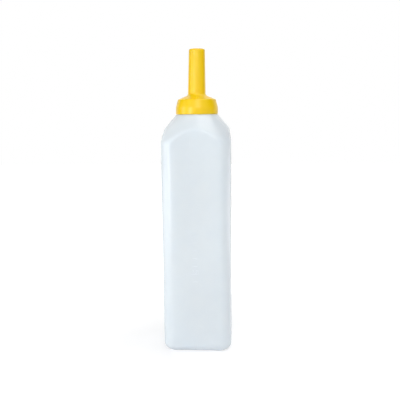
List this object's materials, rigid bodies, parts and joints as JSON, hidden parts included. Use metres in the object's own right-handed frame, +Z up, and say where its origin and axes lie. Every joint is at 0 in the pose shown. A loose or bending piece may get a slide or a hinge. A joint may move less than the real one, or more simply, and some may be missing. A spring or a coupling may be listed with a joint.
{
  "type": "livestock nursing bottle",
  "caption": "Tall square blow-moulded nursing bottle for calves, with a conical shoulder, a beaded neck, a pull-off rubber nipple and a ball-closed air vent.",
  "frame": {"origin": "centre of the bottle's footprint, on the plane that it stands on", "axes": "+Z up through the neck and teat; -Y out of the front face, where the air vent is; +X to the right as seen from the front"},
  "size_m": [0.098, 0.098, 0.4328],
  "materials": {
    "bottle_plastic": "satin, translucent, milky blue-white",
    "nipple_rubber": "satin, moulded, warm yellow",
    "ball_steel": "polished"
  },
  "bodies": {
    "bottle": {"bottle": "bottle_plastic"},
    "nipple": {"nipple": "nipple_rubber"},
    "vent_ball": {"vent_ball": "ball_steel"}
  },
  "joints": [
    {"name": "nipple_lift", "type": "slide", "parent": "bottle", "child": "nipple", "axis": [0, 0, 1], "range_m": [0, 0.12]},
    {"name": "vent_ball_travel", "type": "slide", "parent": "nipple", "child": "vent_ball", "axis": [0.0307, -0.3895, 0.9205], "range_m": [0, 0.0015]}
  ]
}
